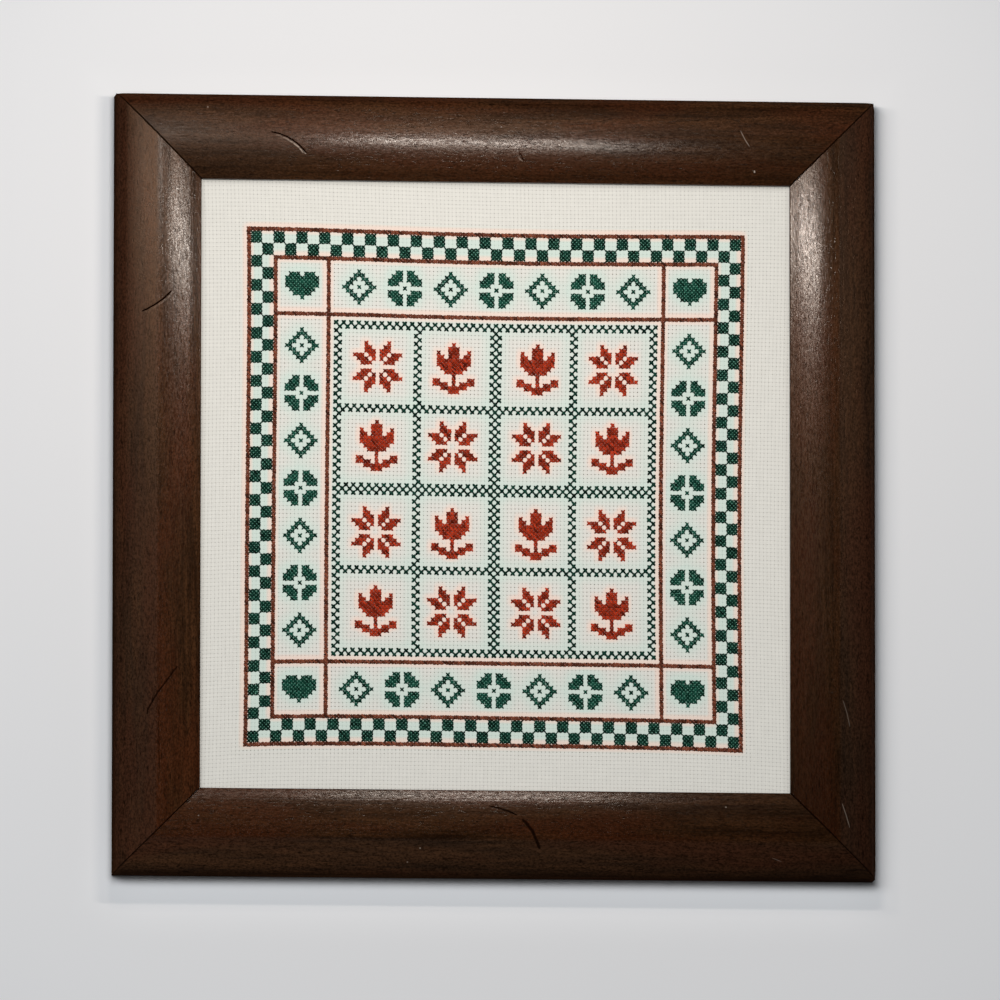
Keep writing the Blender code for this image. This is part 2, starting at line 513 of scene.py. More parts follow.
def between_blocks(s, uv, x, y):
    """Two masks of the weave: the grooves between blocks, and the holes at their corners, which
    the needle has opened wherever the design runs and unevenly."""
    near_x = s.math("ABSOLUTE", s.math("SUBTRACT", s.math("FRACT", s.math("ADD", x, 0.5)), 0.5))
    near_y = s.math("ABSOLUTE", s.math("SUBTRACT", s.math("FRACT", s.math("ADD", y, 0.5)), 0.5))
    squares = s.math("ADD", s.math("POWER", near_x, 2.0), s.math("POWER", near_y, 2.0))
    hole = s.ramp(s.math("SQRT", squares), 0.07, 0.20, 1.0, 0.0)
    groove = s.ramp(s.math("MINIMUM", near_x, near_y), 0.0, 0.12, 1.0, 0.0)
    from_middle_x = s.math("ABSOLUTE", s.math("SUBTRACT", x, 0.5 * STITCHES))
    from_middle_y = s.math("ABSOLUTE", s.math("SUBTRACT", y, 0.5 * STITCHES))
    from_middle = s.math("MAXIMUM", from_middle_x, from_middle_y)
    opened = s.ramp(from_middle, 0.5 * STITCHES, 0.5 * STITCHES + 3, 1.0, 0.38)
    uneven = s.ramp(s.noise(uv, 1.1, 2.0, 0.6), 0.3, 0.7, 0.5, 1.1)
    return groove, s.math("MULTIPLY", s.math("MULTIPLY", hole, opened), uneven)


def painted_rim_shade(s):
    """The share of darker cloth along the side rails and the top one, more at the top: painted
    shade.
    """
    across, up, _ = s.split(s.object_place())
    from_side = s.math("SUBTRACT", OPENING_HALF_WIDTH, s.math("ABSOLUTE", across))
    from_top = s.math("SUBTRACT", OPENING_HALF_HEIGHT, up)
    rim = s.ramp(s.math("MINIMUM", from_side, from_top), 0.0, RIM_SHADE_WIDTH, RIM_SHADE, 0.0)
    return s.math("ADD", rim, s.ramp(from_top, 0.0, TOP_RIM_SHADE_WIDTH, TOP_RIM_SHADE, 0.0))


def cloth_finish():
    """Cream evenweave cotton in blocks of four by four threads; the UV counts blocks. Thicker
    threads run both ways, the cloth is tinted round the green and rust threads, and it takes
    their colour under them."""
    thread = settings().thread
    s = Shader("cream_cotton_weave")
    uv = s.uv_place()
    x, y, _ = s.split(uv)
    turn = 2 * math.pi * THREADS_A_BLOCK
    over_x = s.math("COSINE", s.scaled(x, turn))
    over_y = s.math("COSINE", s.scaled(y, turn))
    weave = s.math("MULTIPLY", over_x, over_y)
    groove, hole = between_blocks(s, uv, x, y)
    slub = s.noise(s.moved(uv, scale=(0.12, 3.0, 1)), 1.3, 3.0, 0.6)
    slub_up = s.noise(s.moved(uv, scale=(3.0, 0.12, 1)), 1.3, 3.0, 0.6)
    fuzz = s.noise(uv, 14.0, 3.0, 0.6)
    cream = tuple(settings().cloth.colour)
    uneven = s.ramp(s.math("ADD", slub, slub_up), 0.75, 1.25, 0.35, 0.0)
    base = s.mix(uneven, cream, tuple(0.80 * c for c in cream))
    # painted shade in the grooves between blocks
    base = s.mix(s.scaled(groove, 0.20), base, tuple(0.62 * c for c in cream))
    # painted shade in the holes
    base = s.mix(hole, base, HOLE_COLOUR)
    pale_green = tuple(c + 0.13 * c / thread.green[1] + 0.05 for c in thread.green)
    pale_rust = tuple(0.7 * c + 0.035 for c in thread.rust)
    for label, share, colour in (
        ("mint", 0.68, MINT), ("blush", 0.75, BLUSH),
        ("under_green", 0.94, pale_green), ("under_rust", 0.94, pale_rust),
    ):
        base = s.mix(s.scaled(s.number(label), share), base, colour)
    # painted shade of the rails along the cloth's edges
    base = s.mix(painted_rim_shade(s), base, tuple(0.2 * c for c in cream))
    s.set(Base_Color=base, Roughness=0.92, Sheen_Weight=0.1, Sheen_Roughness=0.5)
    s.set(Specular_IOR_Level=0.2)
    height = s.math("MULTIPLY_ADD", weave, 0.5, s.scaled(fuzz, 0.8))
    lower = s.bump(height, 0.05 * MM)
    s.set(Normal=s.bump(s.math("SUBTRACT", 0.0, groove), 0.06 * MM, below=lower))
    return s.material


TURNS_ALONG = 5.0
PLIES = 4.0


def thread_finish(name, colour):
    """Stranded cotton: fine plies wind along each strand, whose UV is (along, around)."""
    s = Shader(name)
    uv = s.uv_place()
    along, around, _ = s.split(uv)
    tone = s.number("tone")
    wind = s.math("ADD", s.scaled(along, TURNS_ALONG), s.scaled(around, PLIES))
    ply = s.math("SINE", s.scaled(wind, 2 * math.pi))
    fibre = s.noise(s.moved(uv, scale=(3.0, 26.0, 1)), 1.0, 2.0, 0.6)
    colour = tuple(colour)
    dark = tuple(0.26 * c for c in colour)
    light = tuple(min(1.0, 1.8 * c + 0.006) for c in colour)
    base = s.mix(s.ramp(tone, 0.0, 1.0, 0.0, 1.0), dark, light)
    # painted shade in the grooves between the plies
    base = s.mix(s.ramp(ply, -1.0, 0.2, 0.4, 0.0), base, dark)
    s.set(Base_Color=base, Roughness=0.6, Specular_IOR_Level=0.2)
    height = s.math("MULTIPLY_ADD", ply, 0.6, s.scaled(fibre, 0.5))
    s.set(Normal=s.bump(height, 0.06 * MM))
    return s.material


def card_finish():
    """Grey-brown mounting card: short fibres and a faint unevenness."""
    s = Shader("grey_mounting_card")
    place = s.object_place()
    fibres = s.noise(s.moved(place, scale=(1.0, 0.35, 1.0)), 900.0, 4.0, 0.65)
    clouds = s.noise(place, 22.0, 3.0, 0.5)
    specks = s.noise(place, 1500.0, 1.0, 0.5)
    base = s.mix(s.ramp(fibres, 0.3, 0.7), (0.34, 0.285, 0.21), (0.45, 0.385, 0.295))
    base = s.mix(s.ramp(clouds, 0.35, 0.7, 0.0, 0.35), base, (0.36, 0.31, 0.24))
    base = s.mix(s.ramp(specks, 0.70, 0.76, 0.0, 0.6), base, (0.16, 0.13, 0.10))
    s.set(Base_Color=base, Roughness=0.88)
    s.set(Normal=s.bump(fibres, 0.05 * MM))
    return s.material


def crown_height(across):
    """Two shallow parabolas that meet at the crown, less a quarter ellipse at the outer edge."""
    radius = np.where(across < CROWN_ACROSS, OUTER_CURVE_RADIUS, INNER_CURVE_RADIUS)
    arc = CROWN_HEIGHT - (across - CROWN_ACROSS) ** 2 / (2 * radius)
    inside = np.clip((ROUND_WIDTH - across) / ROUND_WIDTH, 0.0, 1.0)
    return arc - ROUND_DROP * (1 - np.sqrt(1 - inside**2))


def top_height(across):
    """The crown's curve, then the flat facet beside the lip, with a hairline crease between."""
    start = RAIL_WIDTH - FACET_WIDTH
    facet = crown_height(np.array(start)) - FACET_SLOPE * (across - start)
    height = np.where(across > start, facet, crown_height(across))
    crease = np.clip(1 - np.abs(across - start) / CREASE_HALF_WIDTH, 0.0, 1.0)
    return height - CREASE_DEPTH * crease**2


def moulding_section():
    """The rail's closed outline as rows of (across, height, on_top), from the back's outer
    corner up the outer wall, over the top, down the lip and round the rabbet to the back."""
    crease = RAIL_WIDTH - FACET_WIDTH
    lip_start = RAIL_WIDTH - LIP_ROUND
    angle = np.linspace(0, math.pi / 2, 11)
    edge_across = ROUND_WIDTH * (1 - np.cos(angle))
    crown_across = np.arange(ROUND_WIDTH, crease - 0.6 * MM, 0.62 * MM)[1:]
    crease_across = crease + CREASE_HALF_WIDTH * np.array([-1.6, -0.7, 0.0, 0.7, 1.6])
    facet_across = np.linspace(crease + 0.9 * MM, lip_start, 6)
    top_across = np.concatenate([edge_across, crown_across, crease_across, facet_across])
    lip_angle = np.linspace(0, math.pi / 2, 5)[1:]
    lip_top = float(top_height(np.array(lip_start)))
    lip_across = lip_start + LIP_ROUND * np.sin(lip_angle)
    lip_height = lip_top - LIP_ROUND * (1 - np.cos(lip_angle))
    wall = np.linspace(ARRIS, float(top_height(np.array(0.0))), 6)[:-1]
    rabbet = RAIL_WIDTH - RABBET_WIDTH
    hidden = np.array([
        (RAIL_WIDTH, RABBET_DEPTH),
        (RAIL_WIDTH - RABBET_WIDTH / 2, RABBET_DEPTH),
        (rabbet, RABBET_DEPTH),
        (rabbet, RABBET_DEPTH / 2),
        (rabbet, 0.0),
        (rabbet * 0.75, 0.0),
        (rabbet * 0.5, 0.0),
        (rabbet * 0.25, 0.0),
        (ARRIS, 0.0),
    ])
    rows = [
        np.column_stack([np.zeros(len(wall)), wall, np.zeros(len(wall))]),
        np.column_stack([top_across, top_height(top_across), np.ones(len(top_across))]),
        np.column_stack([lip_across, lip_height, np.ones(len(lip_across))]),
        np.column_stack([hidden, np.zeros(len(hidden))]),
    ]
    return np.concatenate(rows)


# Marks of wear on the top faces: rail, points (x, y) on the picture's face and half width in
# millimetres, tone (above nought for a dark scratch, below it for a pale one), and how bright
# the painted highlight is on the ridge that runs along the scratch on its right-hand side
MARKS = (
    ("rail_top", ((-105.7, 164.6), (-101.5, 163.7), (-97.7, 162.1), (-94.5, 160.1), (-92.1, 158.2),
                  (-88.8, 154.6)), 0.38, 1.0, 0.95),
    ("rail_top", ((114.2, 168.0), (116.4, 163.7), (118.6, 160.3)), 0.28, -0.42, 0.0),
    ("rail_top", ((10.4, 156.5), (11.4, 154.7), (12.8, 152.4)), 0.50, 0.6, 0.5),
    ("rail_top", ((120.9, 149.6), (121.1, 148.2)), 0.42, -0.9, 0.0),
    ("rail_top", ((-135.7, 176.0), (-134.7, 175.7)), 0.40, -0.5, 0.0),
    ("rail_left", ((-166.1, 79.3), (-162.9, 80.8), (-159.2, 83.0), (-155.4, 85.8), (-151.7, 89.4)),
     0.42, 1.0, 0.25),
    ("rail_left", ((-162.8, -109.3), (-162.3, -106.5), (-157.9, -98.7), (-153.3, -92.8),
                   (-148.6, -86.2)), 0.55, 0.8, 0.0),
    ("rail_left", ((-157.2, -104.5), (-157.2, -119.9), (-157.0, -134.0)), 0.24, 0.6, 0.0),
    ("rail_bottom", ((-3.3, -150.0), (0.9, -150.9), (5.5, -152.3), (10.2, -154.4)), 0.45, 0.9, 0.0),
    ("rail_bottom", ((12.0, -156.0), (14.3, -158.3), (17.1, -162.1), (19.0, -166.7),
                     (20.4, -170.4)), 0.95, 0.85, 0.0),
    ("rail_right", ((162.0, -99.0), (163.9, -105.0), (165.3, -111.6)), 0.26, -0.18, 0.0),
    ("rail_right", ((161.5, -147.2), (163.4, -152.7), (165.2, -158.8)), 0.28, -0.25, 0.0),
    ("rail_bottom", ((-139.3, -155.6), (-138.3, -155.8)), 0.45, -0.7, 0.0),
    ("rail_bottom", ((106.8, -149.4), (107.9, -149.6)), 0.38, -0.5, 0.0),
    ("rail_bottom", ((-36.0, -170.0), (-35.0, -170.2)), 0.38, -0.55, 0.0),
    ("rail_bottom", ((-41.9, -176.6), (-40.9, -176.6)), 0.34, -0.35, 0.0),
    ("rail_bottom", ((128.7, -173.1), (133.4, -174.9)), 0.24, -0.14, 0.0),
)

# What differs from rail to rail: quarter turns from the bottom one; how dull the varnish is
# outside the crown, with painted sheen there, and how far in from the outer edge it is so; how
# much gloss it has; and how much of its light the wood keeps on the inner side, as painted shade
RailLook = namedtuple("RailLook", "turns film film_edge gloss inner")
RAILS = {
    "rail_bottom": RailLook(0, 0.75, 17.0 * MM, 0.58, 0.85),
    "rail_right": RailLook(1, 1.0, 17.0 * MM, 1.0, 0.66),
    "rail_top": RailLook(2, 0.35, 17.0 * MM, 0.60, 0.64),
    "rail_left": RailLook(3, 0.85, 19.5 * MM, 0.67, 0.97),
}
FILM_FADE = 2.0 * MM
GLOSS_FROM = 1.2 * MM
GLOSS_TO = 10.0 * MM
# Across the rail, from the outer edge, where painted shade comes in on the inner side
INNER_SHADE_FROM = 13 * MM
INNER_SHADE_TO = 22 * MM
# The top rail's left end, left of the middle by this much, is duller and has more painted sheen
DULL_END_FROM = 80 * MM
DULL_END_TO = 110 * MM
DULL_END_FILM = 0.5
DULL_END_LOSS = 0.3
# Painted shade darkens the frame to its lower right: along x - y from here to there, by this share
# at most
LOWER_RIGHT_SHADE_FROM = 100 * MM
LOWER_RIGHT_SHADE_TO = 350 * MM
LOWER_RIGHT_SHADE_SHARE = 0.42
CORNER_STRETCH = 50.0 * MM
MARK_REACH = 2.6 * MM
MARK_TAPER = 2.5 * MM
MARK_TIP = 0.35
FAR_OFF = 9.0


def share_between(value, low, high):
    """Nought up to low, one from high on, and straight between."""
    return np.clip((value - low) / (high - low), 0.0, 1.0)


def quarter_turned(x, y, turns):
    """Turns points by quarter turns about the frame's middle."""
    for _ in range(turns % 4):
        x, y = -y, x
    return x, y


def outer_edge_of(name):
    """The rail's length along its outer edge, and its outer edge's distance from the middle."""
    upright = RAILS[name].turns % 2 == 1
    return (FRAME_HEIGHT, FRAME_WIDTH / 2) if upright else (FRAME_WIDTH, FRAME_HEIGHT / 2)


def local_marks(name):
    """This rail's marks in its own (along, across), in metres."""
    _, edge = outer_edge_of(name)
    found = []
    for rail, points, half_width, tone, lit in MARKS:
        if rail != name:
            continue
        path = np.array(points) * MM
        along, outward = quarter_turned(path[:, 0], path[:, 1], -RAILS[name].turns)
        found.append((np.column_stack([along, outward + edge]), half_width * MM, tone, lit))
    return found


def path_length(path):
    return np.hypot(*np.diff(path, axis=0).T).sum()


def beside_path(along, across, path):
    """For each point of a grid: its signed distance from a path of straight pieces, above nought
    on the path's left; how far along the path it lies; and how far inside the path's nearer end,
    below nought beyond it."""
    side = np.full(along.shape, np.inf)
    run_along = np.zeros(along.shape)
    runs = np.diff(path, axis=0)
    lengths = np.hypot(runs[:, 0], runs[:, 1])
    starts = np.concatenate([[0.0], np.cumsum(lengths)])
    last = len(runs) - 1
    for number, (start, run, length) in enumerate(zip(path[:-1], runs, lengths)):
        from_x = along - start[0]
        from_y = across - start[1]
        ahead = (from_x * run[0] + from_y * run[1]) / length
        low = -np.inf if number == 0 else 0.0
        high = np.inf if number == last else length
        held = np.clip(ahead, low, high)
        off = (run[0] * from_y - run[1] * from_x) / length
        gap = np.hypot(off, ahead - held) * np.where(off < 0, -1.0, 1.0)
        nearer = np.abs(gap) < np.abs(side)
        side = np.where(nearer, gap, side)
        run_along = np.where(nearer, starts[number] + held, run_along)
    return side, run_along, np.minimum(run_along, starts[-1] - run_along)


def mark_numbers(along, across, on_top, marks):
    """The four numbers of the nearest mark at each point: the signed distance as a multiple of
    the mark's half width, which tapers to its ends, how far inside the ends the point lies in
    millimetres, and the mark's tone and the strength of the painted highlight on its ridge, both
    nought past MARK_REACH. The highlight grows from the path's first point to its last."""
    side = np.full(along.shape, FAR_OFF)
    inside = np.zeros(along.shape)
    tone = np.zeros(along.shape)
    lit = np.zeros(along.shape)
    nearest = np.full(along.shape, np.inf)
    for path, half_width, mark_tone, mark_lit in marks:
        gap, run_along, run_in = beside_path(along, across, path)
        away = np.abs(gap) + np.clip(-run_in, 0.0, None)
        taken = away < nearest
        width = half_width * np.clip(run_in / MARK_TAPER + MARK_TIP, MARK_TIP, 1.0)
        if path_length(path) < MARK_TAPER:
            width = half_width
        close = (away < MARK_REACH) & (on_top > 0.5)
        side = np.where(taken, np.clip(gap / width, -FAR_OFF, FAR_OFF), side)
        inside = np.where(taken, run_in / MM, inside)
        tone = np.where(taken, mark_tone * close, tone)
        share = np.clip(run_along / path_length(path), 0.0, 1.0)
        lit = np.where(taken, mark_lit * share * close, lit)
        nearest = np.minimum(nearest, away)
    return {"mark_side": side, "mark_end": inside, "mark_tone": tone, "mark_lit": lit}


def along_stations(length, marks, step):
    """Places along a rail: even steps, made three times finer beside each mark."""
    even = np.linspace(-length / 2, length / 2, int(length / step) + 1)
    extra = [
        np.arange(path[:, 0].min() - MARK_REACH, path[:, 0].max() + MARK_REACH, step / 3)
        for path, *_ in marks
    ]
    places = np.unique(np.round(np.concatenate([even, *extra]), 6))
    keep = np.concatenate([[True], np.diff(places) > step / 6])
    keep[-1] = True
    return places[keep]


def rail_surface(name):
    """The moulding's closed section carried along the rail. Past the last CORNER_STRETCH of its
    length, places along it are drawn in so that the ends lie in the mitres' 45 degree planes."""
    look = RAILS[name]
    length, edge = outer_edge_of(name)
    marks = local_marks(name)
    section = moulding_section()
    stations = along_stations(length, marks, settings().rails.grid_step)
    start = length / 2 - CORNER_STRETCH
    across = np.broadcast_to(section[:, 0], (len(stations), len(section))).copy()
    height = np.broadcast_to(section[:, 1], across.shape).copy()
    on_top = np.broadcast_to(section[:, 2], across.shape)
    reach = length / 2 - across - 0.5 * GAP * math.sqrt(0.5)
    beyond = np.clip((np.abs(stations) - start) / CORNER_STRETCH, 0.0, 1.0)[:, None]
    plain = np.clip(np.abs(stations), None, start)[:, None]
    along = np.sign(stations)[:, None] * (plain + beyond * (reach - start))
    numbers = mark_numbers(along, across, on_top, marks)
    x, y = quarter_turned(along, across - edge, look.turns)
    dull_end = share_between(-x, DULL_END_FROM, DULL_END_TO) * (name == "rail_top")
    # dull varnish outside the crown, with painted sheen there
    film = look.film * np.clip((look.film_edge - across) / FILM_FADE + 0.5, 0.0, 1.0)
    numbers["film"] = np.maximum(film, DULL_END_FILM * dull_end)
    # painted shade on the inner side, and towards the lower right
    inner = 1 + (look.inner - 1) * share_between(across, INNER_SHADE_FROM, INNER_SHADE_TO)
    numbers["shade"] = inner * (1 - LOWER_RIGHT_SHADE_SHARE * share_between(x - y, LOWER_RIGHT_SHADE_FROM, LOWER_RIGHT_SHADE_TO))
    polish = share_between(across, GLOSS_FROM, GLOSS_TO)
    numbers["gloss"] = look.gloss * on_top * polish * (1 - DULL_END_LOSS * dull_end)
    from_seam = (length / 2 - np.abs(along) - across) * math.sqrt(0.5)
    numbers["seam"] = np.clip(from_seam / MM, 0.0, FAR_OFF)
    height, across, numbers["wear"] = worn_corners(along, across, height, length)
    x, y = quarter_turned(along, across - edge, look.turns)
    points = np.stack([x, y, height], axis=-1).reshape(-1, 3)
    return points, numbers, len(stations), len(section)


CORNER_RADIUS = 2.2 * MM
CORNER_DROP = 0.5 * MM
CORNER_DRAW = 0.45 * MM
ARRIS_PLACE = 0.9 * MM
ARRIS_RADIUS = 1.1 * MM
ARRIS_RUB = 0.16
CORNER_RUB = 0.4
# Two waves along the outer arris: the angle they gain in a metre, and the one they start from
RUB_WAVES = ((310, 1.7), (97, 0.4))


def worn_corners(along, across, height, length):
    """Rounds the frame's outer corners by a bell curve of the distance from them, and gives how
    far the stain is rubbed there and, in patches by two sines, along the outer arris."""
    to_end = length / 2 - np.abs(along)
    from_corner = np.hypot(to_end, across)
    lift = np.clip(height / CROWN_HEIGHT, 0.0, 1.0)
    drawn = np.exp(-((from_corner / CORNER_RADIUS) ** 2)) * lift
    height = height - CORNER_DROP * drawn
    across = across + CORNER_DRAW * drawn
    on_edge = np.exp(-((across - ARRIS_PLACE) / ARRIS_RADIUS) ** 2) * lift**2
    short, long = (np.sin(along * gained + start) for gained, start in RUB_WAVES)
    patches = 0.5 + 0.5 * short * long
    return height, across, np.maximum(ARRIS_RUB * on_edge * patches, CORNER_RUB * drawn)


class STITCHED_OT_rails(Operator):
    """Builds the four mitred rails as the moulding's section carried along each side"""

    bl_idname = "stitched.rails"
    bl_label = "Rails"

    def execute(self, context):
        for name, look in RAILS.items():
            points, numbers, rows, columns = rail_surface(name)
            ring = np.arange(columns)
            caps = (ring, ((rows - 1) * columns + ring)[::-1])
            quads = grid_quads(rows, columns, around=True)
            mesh = mesh_from("dressed_" + name, points, quads, caps)
            for label, values in numbers.items():
                set_number(mesh, label, values.ravel())
            offset = (0.37 * look.turns + 0.11, 0.23 * look.turns, 0.05 * look.turns)
            wood = wood_finish("walnut_stain_" + name, math.pi / 2 * (look.turns % 2), offset)
            piece_from(mesh, wood, "walnut_wood", name, sharp_angle=40)
        return {"FINISHED"}


# How the weave lies on the board, in millimetres. A place on the design is (a, b): a runs from
# -1 at its left side to 1 at its right, b from -1 at its top to 1 at its bottom. Each row is
# (power of a, power of b, amount); rows past the first three are the bow of an uneven pull.
WEAVE_X = (
    (0, 0, -0.55), (0, 1, -0.90), (1, 0, 116.56),
    (0, 2, 1.22), (0, 3, 0.33), (0, 4, -0.79), (1, 2, 0.73), (2, 0, -0.18), (3, 0, -0.64),
)
WEAVE_Y = (
    (0, 0, -2.17), (1, 0, -0.44), (0, 1, -120.51),
    (0, 2, 0.26), (0, 4, 0.30), (1, 1, 0.16), (1, 2, -0.35), (2, 0, 1.22), (2, 1, -1.15),
    (3, 0, 0.34), (4, 0, -1.24),
)
WEAVE_REACH = 1.2


def cloth_place(column, row):
    """The point of the cloth at a count of blocks from the design's left and from its top: the
    sum of WEAVE_X's and of WEAVE_Y's terms, of which the bow stops growing at WEAVE_REACH."""
    place = []
    for terms in (WEAVE_X, WEAVE_Y):
        total = 0.0
        for power_a, power_b, amount in terms:
            a = 2 * column / STITCHES - 1
            b = 2 * row / STITCHES - 1
            if power_a + power_b > 1:
                a = np.clip(a, -WEAVE_REACH, WEAVE_REACH)
                b = np.clip(b, -WEAVE_REACH, WEAVE_REACH)
            total = total + amount * a**power_a * b**power_b
        place.append(total * MM)
    return place[0], place[1]


CLOTH_TOP = CLOTH_BOX[1].z - 0.08 * MM
# Counts of blocks between which the grid is fine, and how far past them the hidden rim reaches
FINE_COLUMNS = (-12.5, 143.5)
FINE_ROWS = (-12.5, 142.0)
HIDDEN_BLOCKS = 2.5
UNEVEN_HEIGHT = 0.05 * MM
# Stitches of bare margin that on_half_blocks adds round the design, and what keeps a count that
# rounding left a hair short in its own block
MARGIN = 30
ROUND_UP = 1e-6
# Each tint: its thread, the name of the tint round it and of the colour under it, and how far
# the tint reaches in stitches
TINTS = ((GREEN, "mint", "under_green", 2.5), (RUST, "blush", "under_rust", 1.0))
TINT_GAIN = 3.2


def cloth_lines(low, high):
    """Counts of blocks at which the cloth has grid lines: each half block from low to high, and
    one line past them on each side."""
    count = int(round((high - low) * 2)) + 1
    shown = np.linspace(low, high, count)
    return np.concatenate([[low - HIDDEN_BLOCKS], shown, [high + HIDDEN_BLOCKS]])


def on_half_blocks(mask, columns, rows, reach):
    """A mask of stitches carried to the cloth's grid points: the share of the stitches within
    reach blocks of each point, columns first."""
    spread = np.arange(-reach, reach + 0.01, 0.5)
    padded = np.pad(mask.astype(float), MARGIN)
    total = np.zeros((len(columns), len(rows)))
    for shift_x in spread:
        x = np.floor(columns + shift_x + ROUND_UP).astype(int) + MARGIN
        for shift_y in spread:
            y = np.floor(rows + shift_y + ROUND_UP).astype(int) + MARGIN
            total += padded[np.clip(y, 0, None)[None, :], np.clip(x, 0, None)[:, None]]
    return total / len(spread) ** 2


def cloth_surface(column, row):
    """The cloth's top at each pair of counts: cloth_place gives x and y, held inside the solid's
    box. The height is the cloth's top less a dip that goes with the sum of two cosines, deepest
    at the holes, plus a slow unevenness by two sines."""
    half_width = CLOTH_BOX[1].x
    half_height = CLOTH_BOX[1].y
    x, y = cloth_place(column, row)
    x[0], x[-1] = -half_width, half_width
    y[:, 0], y[:, -1] = half_height, -half_height
    x = np.clip(x, -half_width, half_width)
    y = np.clip(y, -half_height, half_height)
    wave = np.cos(2 * math.pi * column) + np.cos(2 * math.pi * row)
    dip = settings().cloth.hole_depth * np.clip(wave / 2, -0.25, 1.0)
    shown_across = np.abs(x) < OPENING_HALF_WIDTH + 1 * MM
    shown_up = np.abs(y) < OPENING_HALF_HEIGHT + 1 * MM
    height = CLOTH_TOP - np.where(shown_across & shown_up, dip, 0.0)
    slow = np.sin(column * 0.31 + row * 0.17) * np.sin(row * 0.23 - column * 0.11)
    height = np.minimum(height + UNEVEN_HEIGHT * slow, CLOTH_BOX[1].z)
    return np.stack([x, y, height], axis=-1).reshape(-1, 3)


def cloth_tints(columns, rows):
    """Numbers for the tint round the threads of each colour and for the cloth under them."""
    chart = design_chart()
    for colour, near, under, reach in TINTS:
        spread = on_half_blocks(chart == colour, columns, rows, reach)
        inside = on_half_blocks(chart == colour, columns, rows, 0.25)
        yield near, np.clip(TINT_GAIN * spread, 0, 1).ravel()
        yield under, (inside > 0.99).astype(float).ravel()


class STITCHED_OT_cloth(Operator):
    """Builds the stretched cloth: a fine grid that dips at each hole of the weave, closed below"""

    bl_idname = "stitched.cloth"
    bl_label = "Counted cloth"

    def execute(self, context):
        columns = cloth_lines(*FINE_COLUMNS)
        rows = cloth_lines(*FINE_ROWS)
        column, row = np.meshgrid(columns, rows, indexing="ij")
        top = cloth_surface(column, row)
        quads = grid_quads(len(columns), len(rows))[:, ::-1]
        index = np.arange(len(top)).reshape(column.shape)
        rim = np.concatenate([index[:, 0], index[-1, 1:], index[-2::-1, -1], index[0, -2:0:-1]])
        below = top[rim].copy()
        below[:, 2] = CLOTH_BOX[0].z
        low = len(top) + np.arange(len(rim))
        walls = np.stack([rim, np.roll(rim, -1), np.roll(low, -1), low], axis=-1)
        points = np.concatenate([top, below])
        mesh = mesh_from("dressed_cloth", points, np.concatenate([quads, walls]), (low,))
        blocks = np.stack([column, row], axis=-1).reshape(-1, 2)
        set_uv(mesh, np.concatenate([blocks, blocks[rim]]))
        for label, values in cloth_tints(columns, rows):
            set_number(mesh, label, np.concatenate([values, values[rim]]))
        cloth = piece_from(mesh, cloth_finish(), "cream_cotton", "stitched_cloth", sharp_angle=60)
        return {"FINISHED"}


CHECK = 3
CHECKS_FROM = 1
CHECKS_TO = 7
INNER_LINE = 7
BAND_LINE = 21
LATTICE_LINES = ((23, 2), (44, 2), (64, 3), (85, 2), (106, 2))
CELL_MIDDLES = (34, 54, 76, 96)
BAND_PITCH = 12

HEART = (
    ".XXX.XXX.",
    "XXXXXXXXX",
    "XXXXXXXXX",
    "XXXXXXXXX",
    ".XXXXXXX.",
    "..XXXXX..",
    "....X....",
)
QUATREFOIL = (
    "..XX.XX..",
    ".XXX.XXX.",
    "XXXX.XXXX",
    "XXX...XXX",
    "....X....",
    "XXX...XXX",
    "XXXX.XXXX",
    ".XXX.XXX.",
    "..XX.XX..",
)
TULIP = (
    "......X......",
    ".....XXX.....",
    "..X..XXX..X..",
    "..XX.XXX.XX..",
    "..XXXXXXXXX..",
    "..XXXXXXXXX..",
    "...XXXXXXX...",
    "....XXXXX....",
    "......X......",
    ".XX...X...XX.",
    ".XXXX.X.XXXX.",
    "...XXXXXXX...",
    ".....XXX.....",
)


def charted(rows):
    """A small chart, listed row by row, as an array of yes and no."""
    return np.array([[mark == "X" for mark in row] for row in rows])


def eight_petal_star():
    """Thirteen by thirteen: stitched where the smaller of the distances from the middle row and
    column is 1 to 3 and the larger one exceeds it by 1 to 3."""
    row, column = np.mgrid[-6:7, -6:7]
    low = np.minimum(np.abs(row), np.abs(column))
    high = np.maximum(np.abs(row), np.abs(column))
    return (low >= 1) & (low <= 3) & (high - low >= 1) & (high - low <= 3)


def ringed_diamond():
    """Nine by nine: stitched where the two distances from the middle sum to 3, 4 or nought."""
    row, column = np.mgrid[-4:5, -4:5]
    total = np.abs(row) + np.abs(column)
    return ((total >= 3) & (total <= 4)) | (total == 0)


def lay(chart, motif, middle_row, middle_column, colour):
    """Puts a motif of odd width and height on the chart, by its middle."""
    rows, columns = motif.shape
    top = middle_row - rows // 2
    left = middle_column - columns // 2
    window = chart[top : top + rows, left : left + columns]
    window[motif] = colour


def from_nearer_edge():
    """For each row or column of the design, how many stitches it lies from the nearer edge."""
    place = np.arange(STITCHES)
    return np.minimum(place, STITCHES - 1 - place)


def depth_in_design():
    """For each stitch, how many stitches it lies from the nearest edge."""
    mirrored = from_nearer_edge()
    return np.minimum(mirrored[:, None], mirrored[None, :])


def check_border(chart):
    """Two rows of checks, three stitches a side, in a ring."""
    check = (np.arange(STITCHES) - CHECKS_FROM) // CHECK
    parity = (check[:, None] + check[None, :]) % 2 == 0
    depth = depth_in_design()
    ring = (depth >= CHECKS_FROM) & (depth < CHECKS_TO)
    chart[ring & parity] = GREEN


